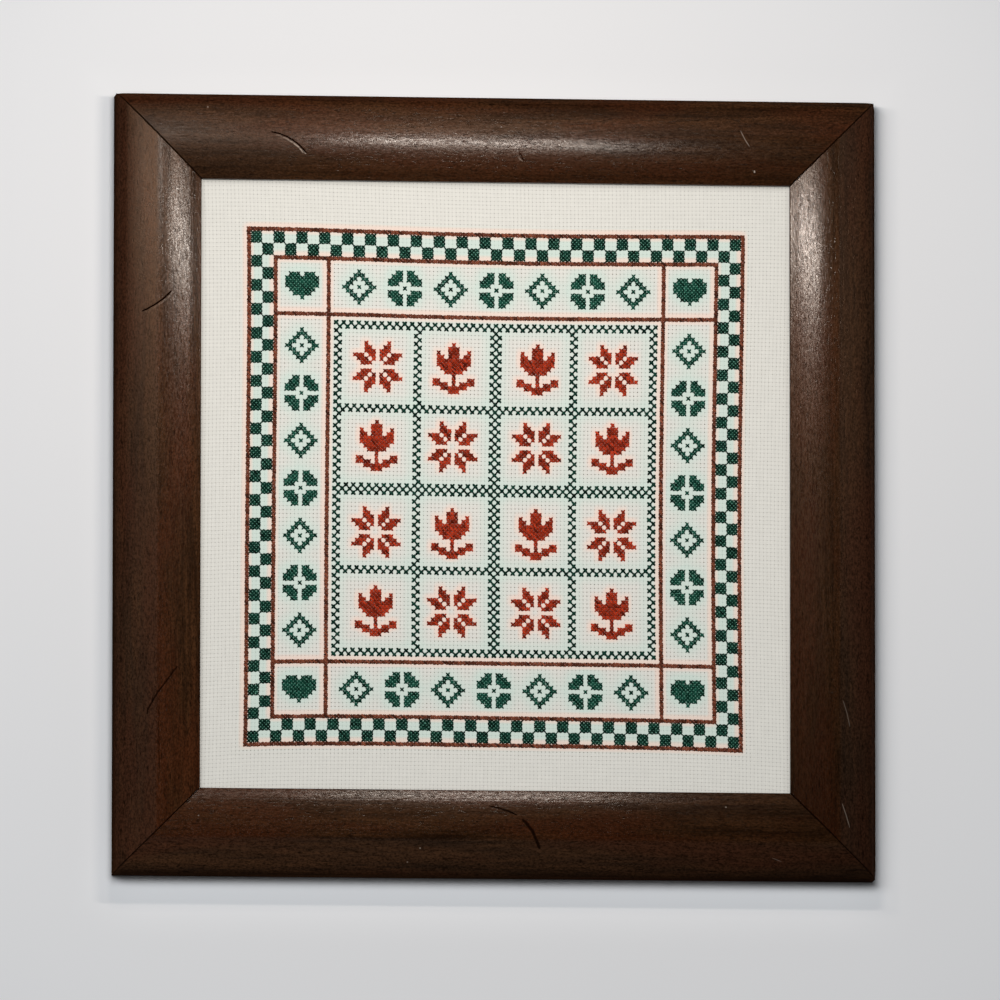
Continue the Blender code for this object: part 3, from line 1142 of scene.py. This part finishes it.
def rust_lines(chart):
    """The outline, the line inside the checks, and the lines that bound the bands."""
    far = STITCHES - 1
    for low, start in ((0, 0), (INNER_LINE, INNER_LINE), (BAND_LINE, INNER_LINE)):
        for line in (low, far - low):
            chart[line, start : STITCHES - start] = RUST
            chart[start : STITCHES - start, line] = RUST


def green_lattice(chart):
    """Lines two or three stitches wide on which single crosses alternate from row to row."""
    place = np.arange(STITCHES)
    lines = np.zeros(STITCHES, bool)
    for start, width in LATTICE_LINES:
        lines[start : start + width] = True
    last_start, last_width = LATTICE_LINES[-1]
    inside = (place >= LATTICE_LINES[0][0]) & (place < last_start + last_width)
    cross = (lines[:, None] & inside[None, :]) | (inside[:, None] & lines[None, :])
    mirrored = from_nearer_edge()
    alternate = (mirrored[:, None] + mirrored[None, :]) % 2 == 0
    chart[cross & alternate] = GREEN


def cell_motifs(chart):
    """Stars and tulips by turns in the cells, alike left and right."""
    star = eight_petal_star()
    tulip = charted(TULIP)
    last = len(CELL_MIDDLES) - 1
    for row, middle_row in enumerate(CELL_MIDDLES):
        for column, middle_column in enumerate(CELL_MIDDLES):
            motif = star if (min(column, last - column) + row) % 2 == 0 else tulip
            lay(chart, motif, middle_row, middle_column, RUST)


def band_motifs(chart):
    """Quatrefoils and diamonds by turns in the four bands, and a heart in each corner square."""
    quatrefoil = charted(QUATREFOIL)
    diamond = ringed_diamond()
    heart = charted(HEART)
    far = STITCHES - 1
    near = (INNER_LINE + BAND_LINE) // 2
    for step in range(-3, 4):
        motif = quatrefoil if step % 2 == 0 else diamond
        place = far // 2 + BAND_PITCH * step
        for band in (near, far - near):
            lay(chart, motif, band, place, GREEN)
            lay(chart, motif, place, band, GREEN)
    for row in (near, far - near):
        for column in (near, far - near):
            lay(chart, heart, row, column, GREEN)


def design_chart():
    """The whole design, one number a stitch: bare, green or rust."""
    chart = np.full((STITCHES, STITCHES), BARE, np.int8)
    check_border(chart)
    rust_lines(chart)
    green_lattice(chart)
    cell_motifs(chart)
    band_motifs(chart)
    return chart


STRAND_ROWS = np.array([0.0, 0.17, 0.5, 0.83, 1.0])
STRAND_SWELL = np.array([0.62, 0.92, 1.0, 0.92, 0.62])
STRAND_SIDES = 5
# Heights of a strand's middle over the cloth: at its ends, and at its crown below and above
STRAND_SINK = -0.20 * MM
LOWER_CROWN = 0.12 * MM
UPPER_CROWN = 0.30 * MM
# How much strands differ: where they leave a hole, in stitches; their sideways bow and their
# crown; and their size and tone as shares
HOLE_SPREAD = 0.048
BOW_SPREAD = 0.05 * MM
CROWN_SPREAD = 0.02 * MM
SIZE_SPREAD = 0.09
TONE_SPREAD = 0.22


def strand_points(row, column, upper, width, reach, rng):
    """Two-parameter surface of every strand at once. Along a strand the centre runs straight
    from hole to hole while its height follows a sine arch; around it the section is a flat
    ellipse, square to the run. The upper strand arches over the lower one."""
    chosen = settings().thread
    count = len(row)
    share = STRAND_ROWS[None, :]
    spread = rng.normal(0.0, HOLE_SPREAD, (4, count))
    lean = -1.0 if upper else 1.0
    across = column + 0.5
    up = row + 0.5
    first_x, first_y = cloth_place(across - reach + spread[0], up + lean * reach + spread[1])
    last_x, last_y = cloth_place(across + reach + spread[2], up - lean * reach + spread[3])
    run_x = last_x - first_x
    run_y = last_y - first_y
    run = np.hypot(run_x, run_y)
    bow = rng.normal(0.0, BOW_SPREAD, count)[:, None] * np.sin(math.pi * share)
    side_x = (-run_y / run)[:, None]
    side_y = (run_x / run)[:, None]
    centre_x = first_x[:, None] + run_x[:, None] * share + bow * side_x
    centre_y = first_y[:, None] + run_y[:, None] * share + bow * side_y
    arch = np.sin(math.pi * share) ** 0.7
    crown = UPPER_CROWN if upper else LOWER_CROWN
    crown = crown + rng.normal(0.0, CROWN_SPREAD, count)[:, None]
    centre_z = CLOTH_TOP + STRAND_SINK + (crown - STRAND_SINK) * arch
    swell = STRAND_SWELL[None, :]
    size = 1.0 + rng.normal(0.0, SIZE_SPREAD, count)[:, None]
    half_width = chosen.half_width * width * swell * size
    half_height = chosen.half_height * swell * size
    angle = 2 * math.pi * (np.arange(STRAND_SIDES) + 0.25) / STRAND_SIDES
    out = half_width[:, :, None] * np.cos(angle)
    lift = half_height[:, :, None] * np.sin(angle)
    x = centre_x[:, :, None] + out * side_x[:, :, None]
    y = centre_y[:, :, None] + out * side_y[:, :, None]
    z = centre_z[:, :, None] + lift
    points = np.stack([x, y, z], axis=-1)
    along = np.broadcast_to(STRAND_ROWS[None, :, None], x.shape)
    around = np.broadcast_to(np.arange(STRAND_SIDES) / STRAND_SIDES, x.shape)
    tone = np.clip(0.5 + rng.normal(0.0, TONE_SPREAD, count), 0.0, 1.0)
    tone = np.broadcast_to(tone[:, None, None], x.shape)
    return points, np.stack([along, around], axis=-1), tone


def strand_faces(count):
    """Faces of the tubes that strand_points lays out, with both ends of each tube closed."""
    per_strand = len(STRAND_ROWS) * STRAND_SIDES
    start = np.arange(count)[:, None, None] * per_strand
    sides = (start + grid_quads(len(STRAND_ROWS), STRAND_SIDES, around=True)).reshape(-1, 4)
    ring = np.arange(STRAND_SIDES)
    ends = np.stack([ring, per_strand - 1 - ring])
    caps = (start + ends).reshape(-1, STRAND_SIDES)
    return sides, caps


def stitch_piece(name, cells, material, slot, width, reach, seed):
    """One piece of thread: two crossing strands over each (row, column) of cells. width is the
    strands' share of the full width, and reach how far they run from the middle, in stitches."""
    rng = np.random.default_rng(seed)
    row = cells[:, 0].astype(float)
    column = cells[:, 1].astype(float)
    parts = [strand_points(row, column, upper, width, reach, rng) for upper in (False, True)]
    points = np.concatenate([part[0].reshape(-1, 3) for part in parts])
    uv = np.concatenate([part[1].reshape(-1, 2) for part in parts])
    tone = np.concatenate([part[2].ravel() for part in parts])
    sides, caps = strand_faces(2 * len(cells))
    mesh = mesh_from(name, points, sides, list(caps))
    set_uv(mesh, uv)
    set_number(mesh, "tone", tone)
    piece_from(mesh, material, slot)


def lattice_area():
    """True on the lattice's own lines."""
    chart = np.full((STITCHES, STITCHES), BARE, np.int8)
    green_lattice(chart)
    return chart == GREEN


class STITCHED_OT_stitches(Operator):
    """Builds every cross of the design as two strands of thread, joined by colour and place"""

    bl_idname = "stitched.stitches"
    bl_label = "Stitches"

    def execute(self, context):
        chosen = settings().thread
        chart = design_chart()
        if not np.array_equal(chart, chart[:, ::-1]):
            raise RuntimeError("The chart has to be alike left and right")
        green = thread_finish("green_stranded_cotton", chosen.green)
        green_line = thread_finish("green_line_cotton", tuple(0.6 * c for c in chosen.green))
        rust = thread_finish("rust_stranded_cotton", chosen.rust)
        line = thread_finish("rust_line_cotton", chosen.rust_line)
        depth = depth_in_design()
        lattice = lattice_area()
        groups = (
            ("stitches_checks", GREEN, depth < CHECKS_TO, green_line, 0.98, 0.48),
            ("stitches_lattice", GREEN, lattice, green_line, 1.16, 0.54),
            ("stitches_bands", GREEN, (depth >= CHECKS_TO) & ~lattice, green, 0.94, 0.47),
            ("stitches_lines", RUST, depth <= BAND_LINE, line, 1.20, 0.48),
            ("stitches_cells", RUST, depth > BAND_LINE, rust, 1.06, 0.48),
        )
        slots = {GREEN: "green_thread", RUST: "rust_thread"}
        for number, (name, colour, where, material, width, reach) in enumerate(groups):
            cells = np.argwhere((chart == colour) & where)
            seed = chosen.seed + number
            stitch_piece(name, cells, material, slots[colour], width, reach, seed)
        return {"FINISHED"}


BOARD_EASE = 0.4 * MM
BOARD_POINTS = 256


class STITCHED_OT_board(Operator):
    """Builds the backing board from rings round a square, each at a share of the board's half
    size less an inset and at a height, so that its edges are slightly eased"""

    bl_idname = "stitched.board"
    bl_label = "Backing board"

    def execute(self, context):
        low, high = BOARD_BOX
        ease = BOARD_EASE
        levels = (
            (0.5, 0.0, high.z), (1.0, ease, high.z), (1.0, 0.0, high.z - ease),
            (1.0, 0.0, low.z + ease), (1.0, ease, low.z), (0.5, 0.0, low.z),
        )
        angle = np.linspace(0, 2 * math.pi, BOARD_POINTS, endpoint=False) + math.pi / 4
        c, s = np.cos(angle), np.sin(angle)
        square = np.maximum(np.abs(c), np.abs(s))
        x, y = c / square, s / square
        rows = [
            np.stack([x * (high.x * share - inset), y * (high.y * share - inset),
                      np.full(len(x), z)], axis=-1)
            for share, inset, z in levels
        ]
        points = np.stack(rows)
        count, around, _ = points.shape
        ring = np.arange(around)
        quads = grid_quads(count, around, around=True)[:, ::-1]
        caps = (ring, ((count - 1) * around + ring)[::-1])
        mesh = mesh_from("dressed_board", points.reshape(-1, 3), quads, caps)
        piece_from(mesh, card_finish(), "grey_card", "backing_board", sharp_angle=40)
        return {"FINISHED"}


FLOOR_REACH = 15.0
FLOOR_BELOW = 0.02 * MM
# Distances from the frame's middle between which a ring of painted shade on the floor fades
# out, and how far from the frame painted light reaches, beside and above it and below it
SHADE_RING_FROM = 0.18
SHADE_RING_TO = 0.33
PAINTED_LIGHT_REACH = 20 * MM
PAINTED_LIGHT_REACH_BELOW = 34 * MM

WARM = (1.0, 0.89, 0.79)
COOL = (0.950, 0.976, 1.0)
# Each light's name, place, size, watts, colour, and whether the varnish mirrors it
LIGHTS = (
    ("lamp", (0.028, 0.172, 0.424), (0.134, 0.006), 0.50, WARM, True),
    ("left_lamp", (-0.14, 0.202, 0.399), (0.072, 0.074), 0.25, WARM, True),
    ("high_left", (-1.338, 0.547, 2.845), (0.92, 0.92), 18.2, COOL, False),
    ("overhead", (-0.103, 0.13, 1.502), (0.47, 0.47), 10.6, COOL, False),
)
SURROUNDINGS_COLOUR = (0.80, 0.81, 0.82, 1.0)
SURROUNDINGS_STRENGTH = 0.075


def soft_light(name, place, size, watts, colour, mirrored):
    """A rectangular light at place that faces the frame's middle and isn't seen itself. Unless
    mirrored, the varnish doesn't reflect it either."""
    lamp = bpy.data.lights.new(name, "AREA")
    lamp.shape = "RECTANGLE"
    lamp.size, lamp.size_y = size
    lamp.energy = watts * settings().stage.light_level
    lamp.color = colour
    light = bpy.data.objects.new(name, lamp)
    light.location = place
    light.rotation_euler = (-Vector(place)).to_track_quat("-Z", "Y").to_euler()
    light.visible_camera = False
    light.visible_glossy = mirrored
    bpy.context.scene.collection.objects.link(light)


def add_floor():
    """The pale floor: a plane just under the frame's back, faintly clouded, with a ring of painted
    shade round the frame and painted light close to it, most of all below it."""
    pale = tuple(settings().stage.floor_colour)
    reach = FLOOR_REACH
    corners = np.array([(-reach, -reach), (reach, -reach), (reach, reach), (-reach, reach)])
    points = np.column_stack([corners, np.full(len(corners), -FLOOR_BELOW)])
    mesh = mesh_from("floor", points, np.array([[0, 1, 2, 3]]))
    floor = bpy.data.objects.new("floor", mesh)
    bpy.context.scene.collection.objects.link(floor)
    s = Shader("pale_floor")
    place = s.object_place()
    clouds = s.noise(place, 1.2, 2.0, 0.5)
    x, y, _ = s.split(place)
    squares = s.math("ADD", s.math("MULTIPLY", x, x), s.math("MULTIPLY", y, y))
    # a ring of painted shade round the frame
    dull = s.ramp(s.math("SQRT", squares), SHADE_RING_FROM, SHADE_RING_TO, 1.0, 0.0)
    base = s.mix(s.ramp(clouds, 0.3, 0.7), pale, tuple(0.985 * c for c in pale))
    base = s.mix(dull, base, tuple(0.935 * c for c in pale))
    # painted light close to the frame, most of all below it
    beside = s.math("SUBTRACT", s.math("ABSOLUTE", x), FRAME_WIDTH / 2)
    above = s.math("SUBTRACT", s.math("ABSOLUTE", y), FRAME_HEIGHT / 2)
    close = s.ramp(s.math("MAXIMUM", beside, above), 0.0, PAINTED_LIGHT_REACH, 0.18, 0.0)
    from_bottom = s.math("ABSOLUTE", s.math("SUBTRACT", -FRAME_HEIGHT / 2, y))
    below = s.ramp(from_bottom, 0.0, PAINTED_LIGHT_REACH_BELOW, 0.75, 0.0)
    below = s.math("MULTIPLY", below, s.ramp(beside, -PAINTED_LIGHT_REACH, PAINTED_LIGHT_REACH, 1.0, 0.0))
    light = s.math("ADD", close, below)
    s.set(Base_Color=s.mix(light, base, tuple(1.12 * c for c in pale)), Roughness=0.75)
    mesh.materials.append(s.material)


# The camera's picture: pixels to the millimetre on the cloth, and the pixel at the middle of
# the frame's back, in a picture of a thousand pixels a side
PICTURE_SIDE = 1000.0
PIXELS_PER_MM = 2.1434
MIDDLE_PIXEL = (492.9, 489.6)
ROLL = math.radians(0.045)
SENSOR = 36.0


def add_camera():
    """A long lens almost square to the face, aimed so that the frame's middle falls on
    MIDDLE_PIXEL without any shift of the lens."""
    chosen = settings().stage
    left, down = -chosen.turn_left, -chosen.turn_down
    back = Vector((
        math.sin(left) * math.cos(down), math.sin(down), math.cos(left) * math.cos(down)
    ))
    up = (Vector((0, 1, 0)) - back * back.y).normalized()
    right = up.cross(back)
    turned_right = right * math.cos(ROLL) + up * math.sin(ROLL)
    turned_up = up * math.cos(ROLL) - right * math.sin(ROLL)
    half = PICTURE_SIDE / 2
    aim = turned_right * (half - MIDDLE_PIXEL[0]) - turned_up * (half - MIDDLE_PIXEL[1])
    aim = aim * (MM / PIXELS_PER_MM)
    data = bpy.data.cameras.new("camera")
    data.sensor_width = SENSOR
    data.lens = PIXELS_PER_MM / MM * chosen.distance * SENSOR / PICTURE_SIDE
    data.clip_start = 0.1
    data.clip_end = 4 * chosen.distance
    camera = bpy.data.objects.new("camera", data)
    basis = Matrix((turned_right, turned_up, back)).transposed().to_4x4()
    camera.matrix_world = Matrix.Translation(aim + back * chosen.distance) @ basis
    bpy.context.scene.collection.objects.link(camera)
    bpy.context.scene.camera = camera


class STITCHED_OT_stage(Operator):
    """Builds the floor, the lights, the surrounding light and the camera"""

    bl_idname = "stitched.stage"
    bl_label = "Stage"

    def execute(self, context):
        scene = context.scene
        scene.view_settings.view_transform = "Standard"
        add_floor()
        for light in LIGHTS:
            soft_light(*light)
        world = bpy.data.worlds.new("surroundings")
        world.use_nodes = True
        background = world.node_tree.nodes["Background"]
        background.inputs["Color"].default_value = SURROUNDINGS_COLOUR
        background.inputs["Strength"].default_value = SURROUNDINGS_STRENGTH
        world.cycles_visibility.glossy = False
        scene.world = world
        add_camera()
        return {"FINISHED"}


class StitchedFrameSettings(PropertyGroup):
    """All settings, one group for each kind of piece."""

    rails: PointerProperty(type=RailSettings)
    cloth: PointerProperty(type=ClothSettings)
    thread: PointerProperty(type=ThreadSettings)
    stage: PointerProperty(type=StageSettings)


class STITCHED_PT_panel(Panel):
    """Lists the operators and the settings in the sidebar"""

    bl_idname = "STITCHED_PT_panel"
    bl_label = "Framed Cross Stitch"
    bl_space_type = "VIEW_3D"
    bl_region_type = "UI"
    bl_category = "Cross Stitch"

    def draw(self, context):
        layout = self.layout
        for operator in OPERATORS:
            layout.operator(operator.bl_idname)
        chosen = context.scene.stitched_frame
        for group in (chosen.rails, chosen.cloth, chosen.thread, chosen.stage):
            box = layout.box()
            for name in group.__annotations__:
                box.prop(group, name)


OPERATORS = (
    STITCHED_OT_stage,
    STITCHED_OT_rails,
    STITCHED_OT_board,
    STITCHED_OT_cloth,
    STITCHED_OT_stitches,
)
CLASSES = (
    RailSettings,
    ClothSettings,
    ThreadSettings,
    StageSettings,
    StitchedFrameSettings,
    *OPERATORS,
    STITCHED_PT_panel,
)


def register():
    for cls in CLASSES:
        bpy.utils.register_class(cls)
    bpy.types.Scene.stitched_frame = PointerProperty(type=StitchedFrameSettings)


def unregister():
    del bpy.types.Scene.stitched_frame
    for cls in reversed(CLASSES):
        bpy.utils.unregister_class(cls)


def main():
    register()
    bpy.ops.stitched.stage()
    bpy.ops.stitched.rails()
    bpy.ops.stitched.board()
    bpy.ops.stitched.cloth()
    bpy.ops.stitched.stitches()


if __name__ == "__main__":
    main()
